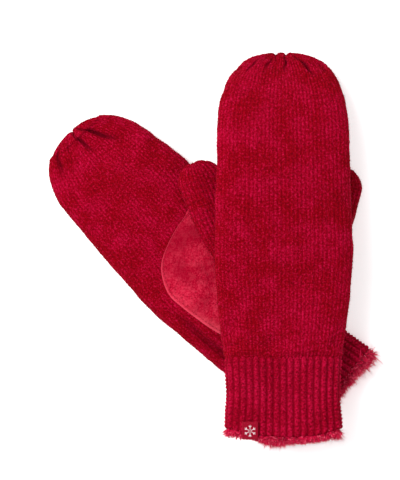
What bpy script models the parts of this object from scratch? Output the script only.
"""A pair of lined chenille-knit mittens, laid flat one across the other.

The right mitten lies palm up on the surface, and the left one lies palm down across it. Each has a
knitted hand, a knitted thumb and a ribbed cuff on the outside, a plush lining bag and thumb bag inside,
a plush roll where the lining meets the hem, a suede palm patch, and the yarns and threads that hold
them together. The finger end of each hand folds up at the knuckle line, and each thumb swings about
the middle of its own opening.

A mitten is drawn straight and flat first: x runs across it towards the thumb, y runs from the hem to
the finger tip, and w is the height from its middle plane towards the palm. lay() then bends the wrist
and lifts the piece to where it rests.
"""

import math
from collections import namedtuple

import bmesh
import bpy
from mathutils import Vector

MM = 0.001

# Driving dimensions of one mitten
LENGTH = 272.6 * MM
THICKNESS = 20.0 * MM
CUFF_TOP = 56.0 * MM
FOLD_LINE = 201.0 * MM
SHELL_WALL = 1.5 * MM
LINING_INSET = 2.6 * MM
LINING_WALL = 1.6 * MM
SECTION_POWER = 2.6
GAP = 0.3 * MM

# Half widths from the hem to where the round end of the hand takes over
HALF_WIDTHS = (
    (0, 41.9 * MM),
    (30 * MM, 40.2 * MM),
    (60 * MM, 42.0 * MM),
    (98 * MM, 46.3 * MM),
    (130 * MM, 48.4 * MM),
    (165 * MM, 47.6 * MM),
    (205 * MM, 46.8 * MM),
    (LENGTH, 46.8 * MM),
)
HALF_THICKNESSES = (
    (0, 9.2 * MM),
    (CUFF_TOP, 9.4 * MM),
    (90 * MM, THICKNESS / 2),
    (LENGTH, THICKNESS / 2),
)
WIDTH_DOME_START = 205 * MM
THICKNESS_DOME_START = 215 * MM
DOME_POWER = 2.6
LINING_TIP_ROOM = 7.0 * MM

# Thumb
THUMB_PIVOT = (26.0 * MM, 126.5 * MM)
THUMB_HALF_WIDTH = 16.0 * MM
THUMB_HALF_THICKNESS = 6.4 * MM
THUMB_HEEL_HALF_THICKNESS = 4.2 * MM
THUMB_HEEL = 16.0 * MM
THUMB_STANDOFF = 3.9 * MM
THUMB_HOLE = 11.5 * MM
LEFT_THUMB_SLOPE = -0.165
THUMB_WALL = 1.3 * MM
THUMB_LINING_INSET = 1.8 * MM
THUMB_LINING_WALL = 0.8 * MM

# Trim
PATCH_THICKNESS = 0.9 * MM
PATCH_LIFT = 1.1 * MM
PATCH_BOTTOM = 63 * MM
PATCH_TOP = 174 * MM
PATCH_OUTER_EDGE = (
    (63 * MM, -12 * MM),
    (67 * MM, -21 * MM),
    (83 * MM, -30 * MM),
    (104 * MM, -32.5 * MM),
    (123 * MM, -33.5 * MM),
    (139 * MM, -30 * MM),
    (152 * MM, -22.5 * MM),
    (161.5 * MM, -11.5 * MM),
    (169 * MM, 6.5 * MM),
    (174 * MM, 23 * MM),
)
PATCH_THUMB_EDGE = (
    (63 * MM, 12 * MM),
    (67 * MM, 22 * MM),
    (80 * MM, 33 * MM),
    (94 * MM, 32 * MM),
    (104 * MM, 18 * MM),
    (115 * MM, 9.5 * MM),
    (128 * MM, 7 * MM),
    (141 * MM, 11 * MM),
    (151 * MM, 20 * MM),
    (162 * MM, 29 * MM),
    (174 * MM, 29 * MM),
)
PATCH_THREAD_INSET = 2.2 * MM
THREAD_RADIUS = 0.3 * MM
SEAM_YARN_RADIUS = 0.7 * MM
HEM_ROOM = 1.8 * MM
HEM_DEPTH = 4.6 * MM
HEM_THICKNESS = 4.6 * MM
LABEL_WIDTH = 11.5 * MM
LABEL_TOP = 10.6 * MM
LABEL_BOTTOM = -4.0 * MM
LABEL_X = -22.4 * MM
LABEL_THICKNESS = 0.8 * MM

# How the two mittens lie. Heights are of a mitten's middle plane, and roll is its rise per metre of x.
RIGHT_SINK = 0.7 * MM
LEFT_HEIGHTS = (
    (0, 32.4 * MM),
    (50 * MM, 33.9 * MM),
    (100 * MM, 37.6 * MM),
    (135 * MM, 40.0 * MM),
    (185 * MM, 38.5 * MM),
    (207 * MM, 34.5 * MM),
    (240 * MM, 22.0 * MM),
    (LENGTH, 10.3 * MM),
)
LEFT_ROLLS = (
    (0, 0.08),
    (50 * MM, 0.0),
    (100 * MM, -0.10),
    (135 * MM, -0.16),
    (190 * MM, -0.16),
    (LENGTH, -0.05),
)
WRIST_BEND = math.radians(10.5)
WRIST_TOP = 112 * MM
WRIST_LENGTH = 42 * MM
RIGHT_TURN = math.radians(42)
RIGHT_PLACE = (32.2 * MM, 14.8 * MM)
RIGHT_SPREAD = 0.935

# Mesh fineness
ROUND_STEPS = 22
THUMB_STEPS = 14
THUMB_RINGS = 10
PATCH_ROWS = 16
PATCH_COLUMNS = 8

Mitten = namedtuple("Mitten", "side palm heights rolls spread bend thumb_angle thumb_reach thumb_slope")
RIGHT = Mitten(
    side="right",
    palm=1,
    heights=((0, THICKNESS / 2 - RIGHT_SINK),),
    rolls=((0, 0.0),),
    spread=RIGHT_SPREAD,
    bend=WRIST_BEND,
    thumb_angle=math.radians(18.7),
    thumb_reach=72.5 * MM,
    thumb_slope=0.0,
)
LEFT = Mitten(
    side="left",
    palm=-1,
    heights=LEFT_HEIGHTS,
    rolls=LEFT_ROLLS,
    spread=1.0,
    bend=0.0,
    thumb_angle=math.radians(16),
    thumb_reach=67.5 * MM,
    thumb_slope=LEFT_THUMB_SLOPE,
)


# ---------------------------------------------------------------- curves and sections

def through(points, at):
    """The value at a place on a smooth curve through (place, value) points."""
    if at <= points[0][0]:
        return points[0][1]
    if at >= points[-1][0]:
        return points[-1][1]
    last = len(points) - 1
    i = next(k for k in range(last) if at <= points[k + 1][0])

    def slope(k):
        if k in (0, last):
            return 0.0
        return (points[k + 1][1] - points[k - 1][1]) / (points[k + 1][0] - points[k - 1][0])

    (x0, y0), (x1, y1) = points[i], points[i + 1]
    span = x1 - x0
    t = (at - x0) / span
    rise, fall = slope(i) * span, slope(i + 1) * span
    return (
        y0 * (1 + 2 * t) * (1 - t) ** 2
        + rise * t * (1 - t) ** 2
        + y1 * t * t * (3 - 2 * t)
        + fall * t * t * (t - 1)
    )


def dome(y, start, end):
    """1 on the straight part, falling to 0 at the end along a superellipse."""
    if y <= start:
        return 1.0
    t = min((y - start) / (end - start), 1.0)
    return (1 - t**DOME_POWER) ** (1 / DOME_POWER)


def half_width(y, inset=0.0, end=LENGTH):
    return (through(HALF_WIDTHS, y) - inset) * dome(y, WIDTH_DOME_START, end)


def half_thickness(y, inset=0.0, end=LENGTH):
    return (through(HALF_THICKNESSES, y) - inset) * dome(y, THICKNESS_DOME_START, end)


def surface_height(x, y):
    """How far the outside of the hand is from its middle plane at (x, y)."""
    share = min(abs(x) / half_width(y), 1.0)
    return half_thickness(y) * (1 - share**SECTION_POWER) ** (1 / SECTION_POWER)


def section_point(angle, y, inset=0.0, end=LENGTH):
    """(x, w) of a hand section's outline at an angle about its middle."""
    c, s = math.cos(angle), math.sin(angle)
    power = 2 / SECTION_POWER
    return (
        half_width(y, inset, end) * math.copysign(abs(c) ** power, c),
        half_thickness(y, inset, end) * math.copysign(abs(s) ** power, s),
    )


# ---------------------------------------------------------------- laying a mitten down

def bend_wrist(mitten, x, y):
    """Turns what is below the wrist towards the thumb side, along an arc."""
    if not mitten.bend or y >= WRIST_TOP:
        return x, y
    radius = WRIST_LENGTH / mitten.bend
    turned = min((WRIST_TOP - y) / radius, mitten.bend)
    beyond = max(WRIST_TOP - WRIST_LENGTH - y, 0.0)
    cx = radius * (1 - math.cos(turned)) + beyond * math.sin(turned)
    cy = WRIST_TOP - radius * math.sin(turned) - beyond * math.cos(turned)
    return cx + x * math.cos(turned), cy + x * math.sin(turned)


def lay(mitten, x, y, w):
    """The place of a flat point (x, y, w), in the mitten's own frame, once the mitten lies down."""
    bx, by = bend_wrist(mitten, x * mitten.spread, y)
    z = through(mitten.heights, y) + through(mitten.rolls, y) * x + mitten.palm * w
    return Vector((bx, by, max(z, 0.0)))


# ---------------------------------------------------------------- making objects

def clear_scene():
    for obj in list(bpy.data.objects):
        bpy.data.objects.remove(obj)


def collection(name):
    made = bpy.data.collections.new(name)
    bpy.context.scene.collection.children.link(made)
    return made


def material(name, colour, roughness):
    made = bpy.data.materials.new(name)
    made.use_nodes = True
    shader = made.node_tree.nodes["Principled BSDF"]
    shader.inputs["Base Color"].default_value = (*colour, 1)
    shader.inputs["Roughness"].default_value = roughness
    shader.inputs["Metallic"].default_value = 0.0
    return made


def empty(name, parent, place=(0, 0, 0), turn=0.0):
    made = bpy.data.objects.new(name, None)
    PARTS.objects.link(made)
    made.parent = parent
    made.location = place
    made.rotation_euler = (0, 0, turn)
    return made


def put(obj, parent, finish):
    """Parents an object whose points are in its mitten's frame, with its origin at the parent."""
    PARTS.objects.link(obj)
    obj.parent = parent
    obj.data.materials.append(finish)
    if parent.name.endswith("joint"):
        obj.data.transform(parent.matrix_basis.inverted())
    return obj


def mesh_object(name, bm, parent, finish):
    bm.normal_update()
    bmesh.ops.recalc_face_normals(bm, faces=bm.faces)
    mesh = bpy.data.meshes.new(name)
    bm.to_mesh(mesh)
    bm.free()
    mesh.shade_smooth()
    return put(bpy.data.objects.new(name, mesh), parent, finish)


def wall(obj, thickness, inwards=True, even=True):
    """Gives an open surface its thickness, the same everywhere if even."""
    made = obj.modifiers.new("wall", "SOLIDIFY")
    made.thickness = thickness
    made.offset = -1 if inwards else 1
    made.use_even_offset = even
    return obj


def cut(obj, cutter):
    made = obj.modifiers.new("opening", "BOOLEAN")
    made.operation = "DIFFERENCE"
    made.object = cutter


def tube(name, points, radius, parent, finish, closed):
    """A yarn or thread along points in the mitten's frame."""
    curve = bpy.data.curves.new(name, "CURVE")
    curve.dimensions = "3D"
    curve.bevel_depth = radius
    curve.bevel_resolution = 0
    curve.use_fill_caps = not closed
    spline = curve.splines.new("POLY")
    spline.points.add(len(points) - 1)
    for point, place in zip(spline.points, points):
        point.co = (*place, 1)
    spline.use_cyclic_u = closed
    return put(bpy.data.objects.new(name, curve), parent, finish)


def loft(name, mitten, stations, parent, finish, inset=0.0, end=LENGTH, closed_tip=False):
    """An open tube through the hand's sections, with the finger tip closed if asked."""
    bm = bmesh.new()
    rings = []
    for y in stations:
        ring = []
        for k in range(ROUND_STEPS):
            x, w = section_point(2 * math.pi * (k + 0.5) / ROUND_STEPS, y, inset, end)
            ring.append(bm.verts.new(lay(mitten, x, y, w)))
        rings.append(ring)
    for low, high in zip(rings, rings[1:]):
        for k in range(ROUND_STEPS):
            after = (k + 1) % ROUND_STEPS
            bm.faces.new((low[k], low[after], high[after], high[k]))
    if closed_tip:
        pole = bm.verts.new(lay(mitten, 0, end, 0))
        for k in range(ROUND_STEPS):
            bm.faces.new((rings[-1][k], rings[-1][(k + 1) % ROUND_STEPS], pole))
    return mesh_object(name, bm, parent, finish)


def spread(low, high, count):
    """Evenly spaced stations from low to high, both included."""
    return [low + (high - low) * k / (count - 1) for k in range(count)]


def tip_stations(start, end, count):
    """Stations that crowd towards the round end, which the pole then closes."""
    return [start + (end - start) * math.sin(math.pi / 2 * k / count) for k in range(count)]


# ---------------------------------------------------------------- the pieces of a mitten

def opening_cutter(mitten, parent, radius, name):
    """An upright cylinder through the palm wall only, where the thumb comes out."""
    bm = bmesh.new()
    bmesh.ops.create_cone(bm, cap_ends=True, segments=24, radius1=radius, radius2=radius, depth=THICKNESS)
    mesh = bpy.data.meshes.new(name)
    bm.to_mesh(mesh)
    bm.free()
    obj = bpy.data.objects.new(name, mesh)
    CUTTERS.objects.link(obj)
    obj.parent = parent
    x, y = THUMB_PIVOT
    obj.location = lay(mitten, x, y, THICKNESS / 2)
    obj.hide_render = True
    obj.display_type = "WIRE"
    return obj


def outer_knit(mitten, body, fingers, holes):
    """The knitted tube: ribbed cuff, hand and finger end. It's one tube of yarn on the real mitten."""
    side = mitten.side
    cuff = loft(f"{side}_rib_cuff", mitten, spread(0, CUFF_TOP - GAP, 4), body, RIB)
    wall(cuff, SHELL_WALL)
    hand = loft(f"{side}_hand_shell", mitten, spread(CUFF_TOP, FOLD_LINE - GAP, 8), body, CHENILLE)
    cut(wall(hand, SHELL_WALL), holes[0])
    stations = tip_stations(FOLD_LINE + GAP, LENGTH, 7)
    end = loft(f"{side}_finger_shell", mitten, stations, fingers, CHENILLE, closed_tip=True)
    wall(end, SHELL_WALL)


def lining(mitten, body, fingers, holes):
    """The plush bag inside the knit, from the hem to just short of the finger tip."""
    side = mitten.side
    end = LENGTH - LINING_TIP_ROOM
    hand = loft(f"{side}_hand_lining", mitten, spread(0, FOLD_LINE - GAP, 10), body, PLUSH, LINING_INSET)
    cut(wall(hand, LINING_WALL), holes[1])
    stations = tip_stations(FOLD_LINE + GAP, end, 6)
    tip = loft(f"{side}_finger_lining", mitten, stations, fingers, PLUSH, LINING_INSET, end, closed_tip=True)
    wall(tip, LINING_WALL)


def hem(mitten, body):
    """The plush roll below the cuff and the thread that joins it on."""
    side = mitten.side
    stations = spread(-HEM_ROOM - HEM_DEPTH, -HEM_ROOM, 2)
    roll = loft(f"{side}_plush_hem", mitten, stations, body, PLUSH, 0.0)
    wall(roll, HEM_THICKNESS)
    ring = []
    for k in range(28):
        x, w = section_point(2 * math.pi * k / 28, -HEM_ROOM / 2, SHELL_WALL)
        ring.append(lay(mitten, x, -HEM_ROOM / 2, w))
    tube(f"{side}_hem_thread", ring, THREAD_RADIUS, body, THREAD, closed=True)


def tip_gather(mitten, fingers):
    """The yarn ring that draws the finger tip shut, between the knit and the lining."""
    y = LENGTH - LINING_TIP_ROOM / 2 - SHELL_WALL / 2
    ring = []
    for k in range(12):
        angle = 2 * math.pi * k / 12
        ring.append(lay(mitten, 3.2 * MM * math.cos(angle), y, 1.2 * MM * math.sin(angle)))
    tube(f"{mitten.side}_tip_gather_yarn", ring, 0.5 * MM, fingers, THREAD, closed=True)


def thumb_place(mitten):
    """Where the thumb's swing axis meets the palm side of the thumb, in the mitten's frame."""
    x, y = THUMB_PIVOT
    palm = lay(mitten, x, y, surface_height(x, y))
    return palm + Vector((0, 0, mitten.palm * THUMB_STANDOFF))


def thumb_pod(name, mitten, inset, parent, finish):
    """A flat pod round at both ends and thinner at its heel, in the mitten's frame."""
    bm = bmesh.new()
    bmesh.ops.create_uvsphere(bm, u_segments=THUMB_STEPS, v_segments=THUMB_RINGS, radius=1)
    place = thumb_place(mitten)
    round_part = THUMB_HALF_WIDTH - inset
    s, c = math.sin(mitten.thumb_angle), math.cos(mitten.thumb_angle)
    for vert in bm.verts:
        across, up, along = vert.co
        end = mitten.thumb_reach if along > 0 else THUMB_HEEL
        straight = math.copysign(end - inset - round_part, along)
        y = straight * min(abs(along) * 3, 1) + along * round_part
        x = across * round_part
        full = through(((-THUMB_HEEL, THUMB_HEEL_HALF_THICKNESS), (25 * MM, THUMB_HALF_THICKNESS)), y)
        w = full + math.copysign(abs(up) ** 0.65, up) * (full - inset)
        z = mitten.palm * w + mitten.thumb_slope * max(y, 0.0)
        vert.co = place + Vector((x * c + y * s, y * c - x * s, z))
    return mesh_object(name, bm, parent, finish)


def thumb(mitten, body, joint):
    """The knitted thumb and its plush bag, open towards the palm about the swing axis."""
    side = mitten.side
    shell = thumb_pod(f"{side}_thumb_shell", mitten, 0.0, joint, CHENILLE)
    bag = thumb_pod(f"{side}_thumb_lining", mitten, THUMB_LINING_INSET, joint, PLUSH)
    for obj, thickness, radius in (
        (shell, THUMB_WALL, THUMB_HOLE),
        (bag, THUMB_LINING_WALL, THUMB_HOLE - THUMB_LINING_INSET),
    ):
        wall(obj, thickness)
        cutter = opening_cutter(mitten, body, radius, f"{obj.name}_cutter")
        cutter.location.z = joint.location.z - mitten.palm * (THICKNESS / 2 - THUMB_HEEL_HALF_THICKNESS)
        cut(obj, cutter)
    ring = []
    x, y = THUMB_PIVOT
    radius = THUMB_HOLE + 2 * MM
    for k in range(20):
        angle = 2 * math.pi * k / 20
        px, py = x + radius * math.cos(angle), y + radius * math.sin(angle)
        ring.append(lay(mitten, px, py, surface_height(px, py) + SEAM_YARN_RADIUS + 2 * GAP))
    tube(f"{side}_thumb_seam", ring, SEAM_YARN_RADIUS, body, THREAD, closed=True)


def palm_patch(mitten, body):
    """The suede patch and the thread that follows its edge."""
    side = mitten.side

    def on_palm(x, y, height):
        return lay(mitten, x, y, surface_height(x, y) + height)

    bm = bmesh.new()
    grid = []
    for y in spread(PATCH_BOTTOM, PATCH_TOP, PATCH_ROWS):
        left, right = through(PATCH_OUTER_EDGE, y), through(PATCH_THUMB_EDGE, y)
        grid.append([bm.verts.new(on_palm(x, y, PATCH_LIFT)) for x in spread(left, right, PATCH_COLUMNS)])
    for low, high in zip(grid, grid[1:]):
        for k in range(PATCH_COLUMNS - 1):
            bm.faces.new((low[k], low[k + 1], high[k + 1], high[k]))
    patch = mesh_object(f"{side}_palm_patch", bm, body, SUEDE)
    facing_out = patch.data.polygons[0].normal.z * mitten.palm > 0
    wall(patch, PATCH_THICKNESS, not facing_out, even=False)
    height = PATCH_LIFT + PATCH_THICKNESS + THREAD_RADIUS + 2 * GAP
    stations = spread(PATCH_BOTTOM + PATCH_THREAD_INSET, PATCH_TOP - PATCH_THREAD_INSET, PATCH_ROWS)
    up = [(through(PATCH_OUTER_EDGE, y) + PATCH_THREAD_INSET, y) for y in stations]
    down = [(through(PATCH_THUMB_EDGE, y) - PATCH_THREAD_INSET, y) for y in reversed(stations)]
    route = [on_palm(x, y, height) for x, y in up + down]
    tube(f"{side}_patch_thread", route, THREAD_RADIUS, body, THREAD, closed=True)


def label(mitten, body):
    """The woven label over the hem of the back of the hand, and the thread along its top."""
    bm = bmesh.new()
    columns, rows = 4, 3
    grid = []
    for i in range(columns):
        x = LABEL_X + LABEL_WIDTH * (i / (columns - 1) - 0.5)
        line = []
        for y in spread(LABEL_BOTTOM, LABEL_TOP, rows):
            line.append(bm.verts.new(lay(mitten, x, y, -surface_height(x, y) - 2 * GAP)))
        grid.append(line)
    for a, b in zip(grid, grid[1:]):
        for k in range(rows - 1):
            bm.faces.new((a[k], b[k], b[k + 1], a[k + 1]))
    tag = mesh_object(f"{mitten.side}_woven_label", bm, body, LABEL)
    facing_out = tag.data.polygons[0].normal.z > 0
    wall(tag, LABEL_THICKNESS, inwards=not facing_out)
    points = []
    height = 2 * GAP + LABEL_THICKNESS + THREAD_RADIUS + GAP
    for x in spread(LABEL_X - 0.4 * LABEL_WIDTH, LABEL_X + 0.4 * LABEL_WIDTH, 5):
        y = LABEL_TOP - 1.2 * MM
        points.append(lay(mitten, x, y, -surface_height(x, y) - height))
    tube(f"{mitten.side}_label_thread", points, THREAD_RADIUS, body, THREAD, closed=False)


def build_mitten(mitten, body):
    """Every piece of one mitten, with an empty on each joint."""
    side = mitten.side
    top = through(mitten.heights, FOLD_LINE) + THICKNESS / 2 + GAP
    fingers = empty(f"{side}_fold_joint", body, (0, FOLD_LINE, top))
    fingers.rotation_euler.y = -math.atan(through(mitten.rolls, FOLD_LINE))
    swing = empty(f"{side}_thumb_joint", body, thumb_place(mitten))
    holes = (
        opening_cutter(mitten, body, THUMB_HOLE, f"{side}_shell_cutter"),
        opening_cutter(mitten, body, THUMB_HOLE - LINING_INSET, f"{side}_lining_cutter"),
    )
    outer_knit(mitten, body, fingers, holes)
    lining(mitten, body, fingers, holes)
    hem(mitten, body)
    tip_gather(mitten, fingers)
    thumb(mitten, body, swing)
    palm_patch(mitten, body)


def stand_on_origin(pair):
    """Moves the pair so that the middle of its box's underside is at the origin."""
    bpy.context.view_layer.update()
    graph = bpy.context.evaluated_depsgraph_get()
    corners = []
    for obj in PARTS.objects:
        if obj.type != "EMPTY":
            seen = obj.evaluated_get(graph)
            mesh = seen.to_mesh()
            corners += [seen.matrix_world @ vert.co for vert in mesh.vertices]
            seen.to_mesh_clear()
    for axis in range(3):
        low = min(corner[axis] for corner in corners)
        high = max(corner[axis] for corner in corners)
        pair.location[axis] = -(low + high) / 2 if axis < 2 else -low
    bpy.context.view_layer.update()


clear_scene()
PARTS = collection("lined_mittens")
CUTTERS = collection("cutters")
CHENILLE = material("chenille", (0.33, 0.002, 0.014), 0.95)
RIB = material("rib_knit", (0.35, 0.003, 0.022), 0.9)
PLUSH = material("plush", (0.55, 0.012, 0.06), 1.0)
SUEDE = material("suede", (0.48, 0.007, 0.035), 0.9)
THREAD = material("thread", (0.42, 0.01, 0.05), 0.7)
LABEL = material("woven_label", (0.4, 0.003, 0.02), 0.6)

PAIR = empty("pair", None)
RIGHT_BODY = empty("right_mitten", PAIR, (*RIGHT_PLACE, 0), RIGHT_TURN)
LEFT_BODY = empty("left_mitten", PAIR)
build_mitten(RIGHT, RIGHT_BODY)
build_mitten(LEFT, LEFT_BODY)
label(LEFT, LEFT_BODY)
stand_on_origin(PAIR)
